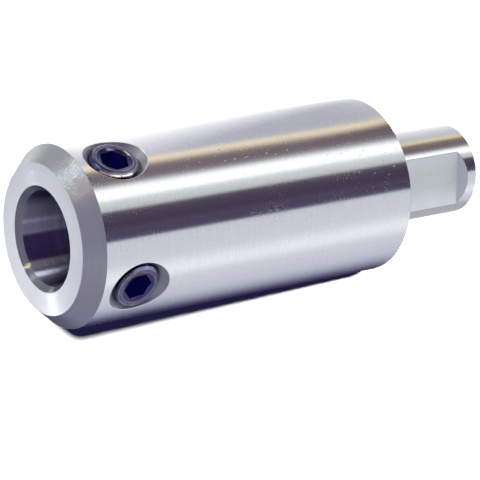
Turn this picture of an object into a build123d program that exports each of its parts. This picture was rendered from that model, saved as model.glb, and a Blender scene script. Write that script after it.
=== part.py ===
from build123d import *
import os
from math import sqrt, tan, radians

# ---------------------------------------------------------------------------
# Extension arbor for 19.05 mm (3/4 in) Weldon shank annular cutters.
# Stands on the end of its shank: +Z runs up the axis and out of the socket.
# The origin is the centre of the shank's end face. Millimetres.
# ---------------------------------------------------------------------------

# shank
SHANK_R = 9.525            # 3/4 in shank
SHANK_LEN = 25.4           # shoulder to end face
SHANK_CHAMFER = 0.5

# body
BODY_R = 18.4
BODY_LEN = 78.0
SHOULDER_CHAMFER = 0.3     # edge break at the shoulder
NOSE_CHAMFER_R = 3.2       # large chamfer round the socket end, radial
NOSE_CHAMFER_Z = 3.5       # and along the axis
TOTAL_LEN = SHANK_LEN + BODY_LEN

# socket for the cutter's shank
SOCKET_R = 9.54
SOCKET_DEPTH = 28.0
MOUTH_CHAMFER = 1.1

# hole that lets the pilot pin through the shank
PILOT_R = 4.0
PILOT_CHAMFER = 0.5

# clamping flat on the shank
FLAT_TURN = -64.0          # direction of its normal about Z, from +X
FLAT_H = 7.62              # from the axis to the flat
FLAT_Z0 = 4.2              # floor of the flat, nearest the shank's end
FLAT_Z1 = 20.2             # floor of the flat, nearest the shoulder
FLAT_RAMP = 1.5            # each end slopes out to the round shank over this length

# the half section is drawn here, from +X about Z, so that the seam of the
# revolved faces runs clear of the flat and of both screw holes
SECTION_TURN = -131.5

# tapped holes for the set screws, M10 x 1.5
SCREW_Z = TOTAL_LEN - 12.0
TAP_R = 5.0
SINK_R = 6.75              # 90 degree countersink at the body's surface
SINK_ANGLE = 90.0

# set screws, M10 x 8, flat point
THREAD_R = 4.95
SCREW_LEN = 8.0
SCREW_TOP = 17.9           # distance of the outer end from the arbor's axis
SCREW_TIP = SCREW_TOP - SCREW_LEN
CROWN_R = 4.45             # edge of the bevel round the outer end
POINT_R = 3.5              # flat point
HEX_AF = 5.3               # hexagon socket, across flats at its worn mouth
HEX_DEPTH = 4.0
HEX_MOUTH_R = 3.7          # shallow cone at the mouth of the hexagon: outer radius,
HEX_MOUTH_IN_R = 2.3       # inner radius, within the hexagon,
HEX_MOUTH_DEPTH = 0.5      # and depth
HEX_TURN_FRONT = 8.0       # turn of one corner from +Z, about the screw's axis
HEX_TURN_RIGHT = 8.0

os.makedirs("parts", exist_ok=True)

# ------------------------------------------------------------------ body ----
# One turned piece: shank, body, stepped hole down the middle.
socket_floor = TOTAL_LEN - SOCKET_DEPTH
section_plane = Plane(
    origin=(0, 0, 0),
    x_dir=Vector(1, 0, 0).rotate(Axis.Z, SECTION_TURN),
    z_dir=Vector(0, -1, 0).rotate(Axis.Z, SECTION_TURN),
)
with BuildPart() as arbor_body:
    with BuildSketch(section_plane) as half_section:
        with BuildLine() as outline:
            Polyline(
                (PILOT_R + PILOT_CHAMFER, 0),
                (SHANK_R - SHANK_CHAMFER, 0),
                (SHANK_R, SHANK_CHAMFER),
                (SHANK_R, SHANK_LEN),
                (BODY_R - SHOULDER_CHAMFER, SHANK_LEN),
                (BODY_R, SHANK_LEN + SHOULDER_CHAMFER),
                (BODY_R, TOTAL_LEN - NOSE_CHAMFER_Z),
                (BODY_R - NOSE_CHAMFER_R, TOTAL_LEN),
                (SOCKET_R + MOUTH_CHAMFER, TOTAL_LEN),
                (SOCKET_R, TOTAL_LEN - MOUTH_CHAMFER),
                (SOCKET_R, socket_floor),
                (PILOT_R + PILOT_CHAMFER, socket_floor),
                (PILOT_R, socket_floor - PILOT_CHAMFER),
                (PILOT_R, PILOT_CHAMFER),
                close=True,
            )
        make_face()
    revolve(axis=Axis.Z)

    # clamping flat, milled into one side of the shank with sloping ends
    flat_plane = Plane(
        origin=(0, 0, 0),
        x_dir=Vector(0, 0, 1),
        z_dir=Vector(0, 1, 0).rotate(Axis.Z, FLAT_TURN),
    )
    out = 4.0
    slope = FLAT_RAMP / (SHANK_R - FLAT_H)
    with BuildSketch(flat_plane) as flat_section:
        with BuildLine():
            Polyline(
                (FLAT_Z0, FLAT_H),
                (FLAT_Z1, FLAT_H),
                (FLAT_Z1 + slope * out, FLAT_H + out),
                (FLAT_Z0 - slope * out, FLAT_H + out),
                close=True,
            )
        make_face()
    extrude(amount=12, both=True, mode=Mode.SUBTRACT)

    # two tapped holes at right angles, countersunk, through to the socket
    with Locations(
        Plane(origin=(0, -BODY_R, SCREW_Z), x_dir=(0, 0, 1), z_dir=(0, -1, 0)),
        Plane(origin=(BODY_R, 0, SCREW_Z), x_dir=(0, 0, 1), z_dir=(1, 0, 0)),
    ):
        CounterSinkHole(
            radius=TAP_R,
            counter_sink_radius=SINK_R,
            counter_sink_angle=SINK_ANGLE,
            depth=BODY_R,
        )

# ------------------------------------------------------------ set screws ----
# Both are alike. Each is drawn as half a section through its own axis, turned,
# and then the hexagon socket and its drill point are cut into the outer end.
hex_corner_r = HEX_AF / sqrt(3)
drill_depth = HEX_AF / 2 * tan(radians(30))
front_axis = Plane(origin=(0, 0, SCREW_Z), x_dir=(0, 0, 1), z_dir=(0, -1, 0))
right_axis = Plane(origin=(0, 0, SCREW_Z), x_dir=(0, 0, 1), z_dir=(1, 0, 0))

with BuildPart() as front_set_screw:
    with BuildSketch(Plane(origin=(0, 0, SCREW_Z), x_dir=(1, 0, 0), z_dir=(0, 0, 1))):
        with BuildLine():
            Polyline(
                (0, -SCREW_TIP),
                (POINT_R, -SCREW_TIP),
                (THREAD_R, -(SCREW_TIP + THREAD_R - POINT_R)),
                (THREAD_R, -(SCREW_TOP - THREAD_R + CROWN_R)),
                (CROWN_R, -SCREW_TOP),
                (HEX_MOUTH_R, -SCREW_TOP),
                (HEX_MOUTH_IN_R, -(SCREW_TOP - HEX_MOUTH_DEPTH)),
                (0, -(SCREW_TOP - HEX_MOUTH_DEPTH)),
                close=True,
            )
        make_face()
    revolve(axis=Axis((0, 0, SCREW_Z), (0, -1, 0)))
    with BuildSketch(front_axis.offset(SCREW_TOP)):
        RegularPolygon(hex_corner_r, 6, rotation=HEX_TURN_FRONT)
    extrude(amount=-HEX_DEPTH, mode=Mode.SUBTRACT)
    with Locations(front_axis.offset(SCREW_TOP - HEX_DEPTH)):
        Cone(
            0,
            HEX_AF / 2,
            drill_depth,
            align=(Align.CENTER, Align.CENTER, Align.MAX),
            mode=Mode.SUBTRACT,
        )

with BuildPart() as right_set_screw:
    with BuildSketch(Plane(origin=(0, 0, SCREW_Z), x_dir=(1, 0, 0), z_dir=(0, 0, 1))):
        with BuildLine():
            Polyline(
                (SCREW_TIP, 0),
                (SCREW_TIP, POINT_R),
                (SCREW_TIP + THREAD_R - POINT_R, THREAD_R),
                (SCREW_TOP - THREAD_R + CROWN_R, THREAD_R),
                (SCREW_TOP, CROWN_R),
                (SCREW_TOP, HEX_MOUTH_R),
                (SCREW_TOP - HEX_MOUTH_DEPTH, HEX_MOUTH_IN_R),
                (SCREW_TOP - HEX_MOUTH_DEPTH, 0),
                close=True,
            )
        make_face()
    revolve(axis=Axis((0, 0, SCREW_Z), (1, 0, 0)))
    with BuildSketch(right_axis.offset(SCREW_TOP)):
        RegularPolygon(hex_corner_r, 6, rotation=HEX_TURN_RIGHT)
    extrude(amount=-HEX_DEPTH, mode=Mode.SUBTRACT)
    with Locations(right_axis.offset(SCREW_TOP - HEX_DEPTH)):
        Cone(
            0,
            HEX_AF / 2,
            drill_depth,
            align=(Align.CENTER, Align.CENTER, Align.MAX),
            mode=Mode.SUBTRACT,
        )

# --------------------------------------------------------------- export ----
arbor_body.part.label = "arbor_body"
front_set_screw.part.label = "front_set_screw"
right_set_screw.part.label = "right_set_screw"
export_step(arbor_body.part, "parts/arbor_body.step")
export_step(front_set_screw.part, "parts/front_set_screw.step")
export_step(right_set_screw.part, "parts/right_set_screw.step")
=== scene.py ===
from math import acos, asin, atan2, cos, pi, radians, sin, sqrt, tan

import bpy
import numpy as np
from mathutils import Matrix, Vector


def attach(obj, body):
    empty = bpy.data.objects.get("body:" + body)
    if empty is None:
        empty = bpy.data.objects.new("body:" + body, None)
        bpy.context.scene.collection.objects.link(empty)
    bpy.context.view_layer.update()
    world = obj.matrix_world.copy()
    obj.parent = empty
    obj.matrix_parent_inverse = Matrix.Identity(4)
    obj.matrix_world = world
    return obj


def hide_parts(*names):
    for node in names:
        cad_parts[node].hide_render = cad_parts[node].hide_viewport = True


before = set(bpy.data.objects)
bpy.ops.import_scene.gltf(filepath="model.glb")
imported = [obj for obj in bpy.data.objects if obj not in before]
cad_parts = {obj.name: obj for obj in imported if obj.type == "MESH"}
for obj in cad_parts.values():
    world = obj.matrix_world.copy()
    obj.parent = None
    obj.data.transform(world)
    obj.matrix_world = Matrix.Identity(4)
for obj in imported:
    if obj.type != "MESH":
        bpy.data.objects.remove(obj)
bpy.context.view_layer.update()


# ---------------------------------------------------------------------------
# The sizes of the construction, millimetres. +Z runs up the axis, out of the
# socket, and the shank stands on z = 0.
# ---------------------------------------------------------------------------
SHANK_R, SHANK_LEN, SHANK_CHAMFER = 9.525, 25.4, 0.5
BODY_R, TOTAL = 18.4, 103.4
SHOULDER_CHAMFER = 0.3
NOSE_R, NOSE_Z = 3.2, 3.5
SOCKET_R, SOCKET_FLOOR, MOUTH = 9.54, 75.4, 1.1
PILOT_R, PILOT_CHAMFER = 4.0, 0.5
FLAT_TURN, FLAT_H, FLAT_Z0, FLAT_Z1, FLAT_RAMP = -64.0, 7.62, 4.2, 20.2, 1.5
SCREW_Z, SINK_R, TAP_R = 91.4, 6.75, 5.0
SCREW_TOP, SCREW_LEN, THREAD_R, CROWN_R, POINT_R = 17.9, 8.0, 4.95, 4.45, 3.5
HEX_AF, HEX_DEPTH, HEX_MOUTH_R, HEX_TURN = 5.3, 4.0, 3.7, 8.0
MOUTH_IN_R, MOUTH_DEPTH = 2.3, 0.5  # the shallow cone at the hexagon's mouth
PITCH = 1.5

# ---------------------------------------------------------------------------
# Mesh making: patches of quads with the true surface normal at every corner,
# welded into one mesh.
# ---------------------------------------------------------------------------


def unit(a):
    a = np.asarray(a, float)
    return a / np.maximum(np.linalg.norm(a, axis=-1, keepdims=True), 1e-12)


class Skin:
    def __init__(self):
        self.p, self.n, self.f, self.m, self.count = [], [], [], [], 0

    def grid(self, points, normals, mat):
        """points and normals are (rows, columns, 3); neighbours are joined by quads."""
        p = np.asarray(points, float)
        n = unit(np.broadcast_to(np.asarray(normals, float), p.shape))
        rows, cols = p.shape[:2]
        i = np.arange(rows - 1)[:, None] * cols + np.arange(cols - 1)[None]
        quads = np.stack([i, i + 1, i + cols + 1, i + cols], -1).reshape(-1, 4)
        flat_p, flat_n = p.reshape(-1, 3), n.reshape(-1, 3)
        a, b, c, d = (flat_p[quads[:, k]] for k in range(4))
        face_n = np.cross(c - a, d - b)
        want = flat_n[quads].mean(1)
        turn = (face_n * want).sum(1) < 0
        quads[turn] = quads[turn][:, ::-1]
        self.p.append(flat_p)
        self.n.append(flat_n)
        self.f.append(quads + self.count)
        self.m.append(np.full(len(quads), mat))
        self.count += len(flat_p)

    def make(self, name, materials):
        p, n = np.concatenate(self.p), np.concatenate(self.n)
        f, m = np.concatenate(self.f), np.concatenate(self.m)
        key = np.round(p * 5000 + 0.3137).astype(np.int64)
        _, first, same = np.unique(key, axis=0, return_index=True, return_inverse=True)
        same = same.reshape(-1)
        verts = p[first] * 0.001
        faces, normals, mats = [], [], []
        g = same[f]
        for q, corners, mat in zip(g.tolist(), f.tolist(), m.tolist()):
            face, kept = [], []
            for k in range(4):
                if q[k] != q[k - 1] and q[k] not in face:
                    face.append(q[k])
                    kept.append(corners[k])
            if len(face) < 3:
                continue
            faces.append(face)
            normals.extend(kept)
            mats.append(mat)
        mesh = bpy.data.meshes.new(name)
        mesh.from_pydata(verts.tolist(), [], faces)
        for material in materials:
            mesh.materials.append(material)
        mesh.polygons.foreach_set("material_index", mats)
        mesh.polygons.foreach_set("use_smooth", [True] * len(faces))
        mesh.update()
        mesh.normals_split_custom_set(n[normals].tolist())
        piece = bpy.data.objects.new(name, mesh)
        bpy.context.scene.collection.objects.link(piece)
        return piece


def rounded(corners, closed=False, arcs=4):
    """corners: (x, y, edge-break radius, tag of the edge that leaves it). Returns runs of (points, normals, tag):
    straight edges and the small arcs between them. Normals point to the left of the direction of travel."""
    n = len(corners)
    c = [np.array(q[:2], float) for q in corners]
    cut_in, cut_out, arc = [None] * n, [None] * n, [None] * n
    for i in range(n):
        r = corners[i][2]
        if (not closed and i in (0, n - 1)) or r <= 0:
            cut_in[i] = cut_out[i] = c[i]
            continue
        a, b = unit(c[i] - c[i - 1]), unit(c[(i + 1) % n] - c[i])
        na, nb = np.array([-a[1], a[0]]), np.array([-b[1], b[0]])
        half = acos(max(-1, min(1, float(a @ b)))) / 2
        back = r * tan(half)
        cut_in[i], cut_out[i] = c[i] - a * back, c[i] + b * back
        turn = a[0] * b[1] - a[1] * b[0]
        s = 1.0 if turn > 0 else -1.0  # centre lies to the left on a left turn
        centre = cut_in[i] + na * r * s
        ts = np.linspace(0, 1, arcs + 1)[:, None]
        nn = unit(na * np.sin((1 - ts) * 2 * half) + nb * np.sin(ts * 2 * half))
        arc[i] = (centre - nn * r * s, nn, corners[i - 1][3] if turn < 0 else corners[i][3])
    runs = []
    for i in range(n if closed else n - 1):
        j = (i + 1) % n
        if arc[i] is not None and (closed or i > 0):
            runs.append(arc[i])
        d = unit(cut_in[j] - cut_out[i])
        nn = np.array([-d[1], d[0]])
        runs.append((np.array([cut_out[i], cut_in[j]]), np.array([nn, nn]), corners[i][3]))
    return runs


def ring(r, z, theta):
    return np.stack([r * np.cos(theta), r * np.sin(theta), np.full_like(theta, z)], -1)


def lathe(skin, points, normals, theta, mat, theta_end=None):
    """Rows are the outline's points (r, z), columns the angles. theta_end lets the last row start elsewhere."""
    p, n = [], []
    for k, ((r, z), (nr, nz)) in enumerate(zip(points, normals)):
        t = theta_end if theta_end is not None and k == len(points) - 1 else theta
        p.append(ring(r, z, t))
        n.append(np.stack([nr * np.cos(t), nr * np.sin(t), np.full_like(t, nz)], -1))
    skin.grid(p, n, mat)


# ---------------------------------------------------------------------------
# Threads. x is the distance along the axis from the middle of a screw's crest.
# ---------------------------------------------------------------------------
SLOPE = 1 / tan(radians(30))


# a crest of each screw's thread lies at this height where phi is 0
THREAD_REF = {"front": SCREW_TOP + 1.3125, "right": SCREW_TOP + 0.525}


def thread_radius(x, inside):
    x = np.abs((x + PITCH / 2) % PITCH - PITCH / 2)
    if inside:
        return np.clip(4.55 + (PITCH / 4 - x) * SLOPE, 4.19, TAP_R)
    return np.clip(4.46 + (PITCH / 4 - x) * SLOPE, 4.06, THREAD_R - 0.03)


def pitch_rows(inside):
    """Where the rows of a thread's mesh lie within one pitch: at its corners and a few between."""
    if inside:
        root, crest = PITCH / 4 - (TAP_R - 4.55) / SLOPE, PITCH / 4 + (4.55 - 4.19) / SLOPE
    else:
        root, crest = PITCH / 4 - (THREAD_R - 0.03 - 4.46) / SLOPE, PITCH / 4 + (4.46 - 4.06) / SLOPE
    half = [0.0, root, *np.linspace(root, crest, 4)[1:-1], crest]
    if not inside:
        half.extend([root * 0.7, (crest + PITCH / 2) / 2])
        half.extend(np.linspace(0.04, 0.5, 9))  # enough rows for the curve of the crown
    return np.array(sorted({round(float(x), 6) for x in [*half, PITCH / 2, *[PITCH - h for h in half if h > 0]]}))


ROUND = 168  # columns round a screw hole and a screw
PHI = np.linspace(0, 2 * pi, ROUND + 1)


def axes_of(e):
    """A screw's outward direction e, +Z, and the third axis: an angle from +Z runs right-handed about e."""
    e = np.array(e, float)
    a = np.array([0.0, 0.0, 1.0])
    return e, a, np.cross(e, a)


def place(e, h, r, phi):
    e, a, b = axes_of(e)
    h, r, phi = np.broadcast_arrays(h, r, phi)
    return (np.array([0, 0, SCREW_Z]) + h[..., None] * e
            + (r * np.cos(phi))[..., None] * a + (r * np.sin(phi))[..., None] * b)


def direct(e, nh, nr, nphi, phi):
    """A direction given by its parts along the axis, away from it and round it."""
    e, a, b = axes_of(e)
    nh, nr, nphi, phi = np.broadcast_arrays(nh, nr, nphi, phi)
    out = np.cos(phi)[..., None] * a + np.sin(phi)[..., None] * b
    tan_ = -np.sin(phi)[..., None] * a + np.cos(phi)[..., None] * b
    return unit(nh[..., None] * e + nr[..., None] * out + nphi[..., None] * tan_)


def helix_bands(skin, e, radius, ref, h_low, h_high, inside, sense, mat, r_low=None):
    """The threaded wall between h_low(phi) and h_high(phi). radius(h, phi) is its true radius.
    sense is +1 for a screw (the metal is within) and -1 for a hole. r_low is its edge at h_low."""
    lead = PITCH * PHI / (2 * pi)
    base = pitch_rows(inside)
    lo, hi = float(np.min(h_low)), float(np.max(h_high))
    starts = np.arange(np.floor((lo - 2 * PITCH) / PITCH), np.ceil(hi / PITCH) + 1) * PITCH
    rows = np.concatenate([s + base for s in starts]) + ref % PITCH
    h = np.clip(rows[:, None] + lead[None], h_low[None], h_high[None])
    r = radius(h, PHI[None])
    if r_low is not None:
        r = np.where(h <= h_low[None], r_low[None], r)
    for k in range(len(rows) - 1):
        h2, r2 = h[k:k + 2], r[k:k + 2]
        dh = h2[1] - h2[0]
        if np.max(dh) < 1e-7:
            continue
        mid = (h2[0] + h2[1]) / 2
        eps = 0.004
        slope = (radius(mid + eps, PHI) - radius(mid - eps, PHI)) / (2 * eps)
        turn = (radius(mid, PHI + eps) - radius(mid, PHI - eps)) / (2 * eps) / np.maximum(r2.mean(0), 1)
        nrm = direct(e, -slope * sense, np.full_like(slope, sense), -turn * sense, PHI)
        skin.grid(place(e, h2, r2, PHI[None]), np.stack([nrm, nrm]), mat)


# ---------------------------------------------------------------------------
# Materials
# ---------------------------------------------------------------------------


class Paint:
    """A small helper that puts shader nodes together."""

    def __init__(self, name):
        self.mat = bpy.data.materials.new(name)
        self.mat.use_nodes = True
        self.nt = self.mat.node_tree
        self.bsdf = next(n for n in self.nt.nodes if n.type == "BSDF_PRINCIPLED")
        self.coords = self.nt.nodes.new("ShaderNodeTexCoord").outputs["Object"]

    def node(self, kind, **inputs):
        n = self.nt.nodes.new(kind)
        for key, value in inputs.items():
            key = int(key[1:]) if key[0] == "i" and key[1:].isdigit() else key.replace("_", " ")
            if isinstance(value, bpy.types.NodeSocket):
                self.nt.links.new(value, n.inputs[key])
            else:
                n.inputs[key].default_value = value
        return n

    def math(self, op, a, b=0.0, c=0.0, clamp=False):
        n = self.node("ShaderNodeMath", i0=a, i1=b, i2=c)
        n.operation, n.use_clamp = op, clamp
        return n.outputs[0]

    def vmath(self, op, a, b=(0, 0, 0)):
        n = self.node("ShaderNodeVectorMath", i0=a, i1=b)
        n.operation = op
        return n.outputs["Value"] if op in ("LENGTH", "DOT_PRODUCT") else n.outputs["Vector"]

    def noise(self, vector, scale=1.0, detail=2.0, rough=0.5, distortion=0.0):
        n = self.node("ShaderNodeTexNoise", Vector=vector, Scale=scale, Detail=detail, Roughness=rough, Distortion=distortion)
        return n.outputs["Fac"]

    def scaled(self, factors, vector=None):
        return self.vmath("MULTIPLY", self.coords if vector is None else vector, factors)

    def ramp(self, value, low, high, to_low=0.0, to_high=1.0):
        n = self.node("ShaderNodeMapRange", Value=value)
        n.inputs["From Min"].default_value, n.inputs["From Max"].default_value = low, high
        n.inputs["To Min"].default_value, n.inputs["To Max"].default_value = to_low, to_high
        n.clamp = True
        return n.outputs["Result"]

    def mix(self, fac, a, b):
        n = self.nt.nodes.new("ShaderNodeMix")
        n.data_type = "RGBA"
        for key, value in ((0, fac), (6, a), (7, b)):
            if isinstance(value, bpy.types.NodeSocket):
                self.nt.links.new(value, n.inputs[key])
            else:
                n.inputs[key].default_value = value if key == 0 else (*value, 1.0)
        return n.outputs[2]

    def set(self, **inputs):
        for key, value in inputs.items():
            socket = self.bsdf.inputs[key.replace("_", " ")]
            if isinstance(value, bpy.types.NodeSocket):
                self.nt.links.new(value, socket)
            else:
                socket.default_value = value

    def bump(self, height, strength, distance, normal=None):
        n = self.node("ShaderNodeBump", Height=height, Strength=strength, Distance=distance)
        if normal is not None:
            self.nt.links.new(normal, n.inputs["Normal"])
        return n.outputs["Normal"]

    def grain_round_axis(self):
        n = self.nt.nodes.new("ShaderNodeTangent")
        n.direction_type, n.axis = "RADIAL", "Z"
        self.nt.links.new(n.outputs["Tangent"], self.bsdf.inputs["Tangent"])


def groove_normal(p, low, high, pitch, across, around=0.0):
    """Fine turning grooves: rings pitch metres wide round the axis, each tilted along the surface's outline
    by its own slope between low and high. across is "z" on a cylinder and "r" on a flat face."""
    flat = p.scaled((1, 1, 0))
    run = p.node("ShaderNodeSeparateXYZ", Vector=p.coords).outputs[2] if across == "z" else p.vmath("LENGTH", flat)
    wobble = p.noise(p.coords, 300.0, 2.0, 0.5)
    row = p.math("FLOOR", p.math("ADD", p.math("DIVIDE", run, pitch), p.math("MULTIPLY", wobble, around)))
    white = p.nt.nodes.new("ShaderNodeTexWhiteNoise")
    white.noise_dimensions = "1D"
    p.nt.links.new(row, white.inputs["W"])
    slope = p.ramp(white.outputs["Value"], 0.0, 1.0, low, high)
    if across == "z":
        tilt = p.node("ShaderNodeCombineXYZ", X=0.0, Y=0.0, Z=slope).outputs[0]
    else:
        much = p.node("ShaderNodeCombineXYZ", X=slope, Y=slope, Z=0.0).outputs[0]
        tilt = p.vmath("MULTIPLY", p.vmath("NORMALIZE", flat), much)
    base = p.nt.nodes.new("ShaderNodeNewGeometry").outputs["Normal"]
    return p.vmath("NORMALIZE", p.vmath("ADD", base, tilt))


def specks(p, vector, scale, size, share):
    """Small scattered dots: 1 inside a dot, 0 elsewhere."""
    v = p.node("ShaderNodeTexVoronoi", Vector=vector, Scale=scale)
    v.feature = "F1"
    near = p.ramp(v.outputs["Distance"], size, size * 0.45)
    sep = p.node("ShaderNodeSeparateColor", Color=v.outputs["Color"])
    chosen = p.math("LESS_THAN", sep.outputs[0], share)
    return p.math("MULTIPLY", near, chosen)


def ground_steel():
    """Cylindrically ground steel: fine lines run round the axis, with fine dust and small nicks."""
    p = Paint("ground_steel_round")
    fine = p.noise(p.scaled((260, 260, 16000)), 1.0, 3.0, 0.6)
    wide = p.noise(p.scaled((60, 60, 1500)), 1.0, 2.0, 0.5)
    cloud = p.noise(p.coords, 70.0, 3.0, 0.55)
    # dust: more of it in some patches than in others
    patches = p.ramp(p.noise(p.coords, 55.0, 3.0, 0.6), 0.48, 0.66)
    dust = specks(p, p.coords, 2600.0, 0.30, 0.13)
    dust = p.math("MULTIPLY", dust, p.math("ADD", 0.12, p.math("MULTIPLY", patches, 0.88)))
    nicks = specks(p, p.scaled((1, 1, 0.7)), 900.0, 0.14, 0.03)
    dots = p.math("MAXIMUM", dust, nicks)
    for x, y, z, size in ((0.01777, -0.00476, 0.0700, 0.0075), (0.01801, -0.00376, 0.0560, 0.0055), (0.0157, -0.0096, 0.0330, 0.0095)):  # three scuffed spots
        away = p.vmath("LENGTH", p.scaled((1, 1, 0.6), p.vmath("SUBTRACT", p.coords, (x, y, z))))
        scuff = p.math("MULTIPLY", specks(p, p.scaled((1, 1, 0.5)), 2100.0, 0.42, 0.16), p.ramp(away, size, size * 0.3))
        dots = p.math("MAXIMUM", dots, scuff)
    smudge = p.math("MULTIPLY", p.ramp(p.noise(p.coords, 2700.0, 3.0, 0.7), 0.53, 0.66), p.math("MULTIPLY", patches, 0.5))
    dots = p.math("MAXIMUM", p.math("MULTIPLY", dots, 0.75), smudge)
    colour = p.mix(p.ramp(fine, 0.3, 0.7), (0.63, 0.635, 0.65), (0.67, 0.675, 0.69))
    colour = p.mix(p.ramp(wide, 0.35, 0.65, 0.0, 0.30), colour, (0.60, 0.595, 0.62))
    mottle = p.noise(p.coords, 2300.0, 3.0, 0.65)
    colour = p.mix(p.ramp(mottle, 0.47, 0.66, 0.0, 0.30), colour, (0.50, 0.50, 0.53))
    colour = p.mix(dots, colour, (0.66, 0.65, 0.67))
    p.set(Base_Color=colour, Metallic=1.0)
    rough = p.math("ADD", p.ramp(cloud, 0.3, 0.7, 0.155, 0.18), p.math("MULTIPLY", dots, 0.42))
    p.set(Roughness=rough, Anisotropic=p.math("SUBTRACT", 1.0, dots), Anisotropic_Rotation=0.25)
    p.grain_round_axis()
    p.set(Normal=p.bump(fine, 0.04, 0.00002))
    return p.mat


def turned_satin(name, dark, light, rough, bump, sparkle=0.0):
    """Coarser turned finish on the chamfers and shoulder; on one part of the nose a patch of tearing in the cut, whose
    grit is painted pale mint as painted glints.
    """
    p = Paint(name)
    lines = p.noise(p.scaled((120, 120, 9000)), 1.0, 3.0, 0.6)
    cloud = p.noise(p.coords, 120.0, 4.0, 0.6)
    grit = p.noise(p.coords, 3200.0, 2.0, 0.7)
    colour = p.mix(p.ramp(lines, 0.3, 0.7), dark, light)
    colour = p.mix(p.ramp(cloud, 0.35, 0.7, 0.0, 0.35), colour, tuple(x * 0.88 for x in dark))
    if sparkle:
        way = p.vmath("NORMALIZE", p.scaled((1, 1, 0)))
        # darker round the side of the nose toward +X +Y
        colour = p.mix(p.ramp(p.vmath("DOT_PRODUCT", way, (0.7071, 0.7071, 0)), 0.90, 0.97, 0.0, 0.8), colour, (0.32, 0.33, 0.335))
        # painted glints: a patch of tearing whose grit is painted pale mint; the same mask also roughens it through the
        # bump
        torn_and_glint = p.math("MULTIPLY", p.ramp(p.vmath("DOT_PRODUCT", way, (0.9962, -0.0872, 0)), 0.93, 0.985), p.ramp(p.noise(p.coords, 500.0, 3.0, 0.6), 0.40, 0.55))
        colour = p.mix(p.math("MULTIPLY", p.ramp(grit, 0.52, 0.60), p.math("MULTIPLY", torn_and_glint, sparkle)), colour, (0.80, 0.93, 0.88))
    p.set(Base_Color=colour, Metallic=1.0, Roughness=p.ramp(cloud, 0.3, 0.7, rough, rough + 0.08), Anisotropic=0.6, Anisotropic_Rotation=0.25)
    p.grain_round_axis()
    normal = p.bump(grit, bump, 0.00003, p.bump(lines, bump, 0.00003))
    if sparkle:
        normal = p.bump(p.math("MULTIPLY", grit, torn_and_glint), 0.5, 0.00006, normal)
    p.set(Normal=normal)
    return p.mat


def turned_face():
    """Faced on the lathe: fine rings round the axis."""
    p = Paint("turned_face_rings")
    r = p.vmath("LENGTH", p.scaled((1, 1, 0)))
    around = p.scaled((150, 150, 0))
    x = p.node("ShaderNodeCombineXYZ", X=p.math("MULTIPLY", r, 9000.0), Y=0.0, Z=0.0)
    rings = p.noise(p.vmath("ADD", x.outputs[0], around), 1.0, 3.0, 0.6)
    cloud = p.noise(p.coords, 140.0, 3.0, 0.5)
    colour = p.mix(p.ramp(rings, 0.3, 0.7), (0.57, 0.58, 0.62), (0.61, 0.62, 0.66))
    p.set(Base_Color=colour, Metallic=1.0, Roughness=p.ramp(cloud, 0.3, 0.7, 0.21, 0.25), Anisotropic=0.95, Anisotropic_Rotation=0.25)
    p.grain_round_axis()
    p.set(Normal=groove_normal(p, -0.09, 0.15, 0.000004, "r", 4.0))
    return p.mat


def bored_steel():
    """Inside of the socket: bored, so its fine grooves run round it and spread light along it."""
    p = Paint("bored_socket_wall")
    lines = p.noise(p.scaled((200, 200, 7000)), 1.0, 3.0, 0.6)
    streaks = p.noise(p.scaled((900, 900, 40)), 1.0, 3.0, 0.6)
    cloud = p.noise(p.coords, 160.0, 3.0, 0.5)
    colour = p.mix(p.ramp(lines, 0.3, 0.7), (0.30, 0.29, 0.37), (0.35, 0.34, 0.42))
    colour = p.mix(p.ramp(streaks, 0.4, 0.7, 0.0, 0.4), colour, (0.25, 0.235, 0.31))
    # painted shade: the wall is darkened to navy round one side, standing in for the dark it mirrors there
    facing = p.vmath("DOT_PRODUCT", p.vmath("NORMALIZE", p.scaled((1, 1, 0))), (-0.7071, 0.7071, 0))
    painted_dark_side = p.ramp(p.math("ADD", facing, p.math("MULTIPLY", p.noise(p.coords, 180.0, 2.0, 0.5), 0.1)), 0.75, 0.55)
    colour = p.mix(p.math("MULTIPLY", painted_dark_side, 0.75), colour, (0.075, 0.075, 0.13))
    # painted shade: darker still round the rest of the wall
    colour = p.mix(p.ramp(facing, 0.3, -0.1, 0.0, 0.9), colour, (0.035, 0.035, 0.06))
    # and a painted dark purplish band runs along it, standing in for a mirrored dark reflection
    along = p.vmath("DOT_PRODUCT", p.vmath("NORMALIZE", p.scaled((1, 1, 0))), (-0.7826, 0.6225, 0))
    colour = p.mix(p.ramp(along, 0.953, 0.970, 0.0, 0.9), colour, (0.14, 0.085, 0.24))
    p.set(Base_Color=colour, Metallic=1.0, Roughness=p.ramp(cloud, 0.3, 0.7, 0.13, 0.17), Anisotropic=0.9, Anisotropic_Rotation=0.25)
    p.grain_round_axis()
    p.set(Normal=groove_normal(p, 0.30, 0.72, 0.000004, "z", 4.0))
    return p.mat


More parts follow.
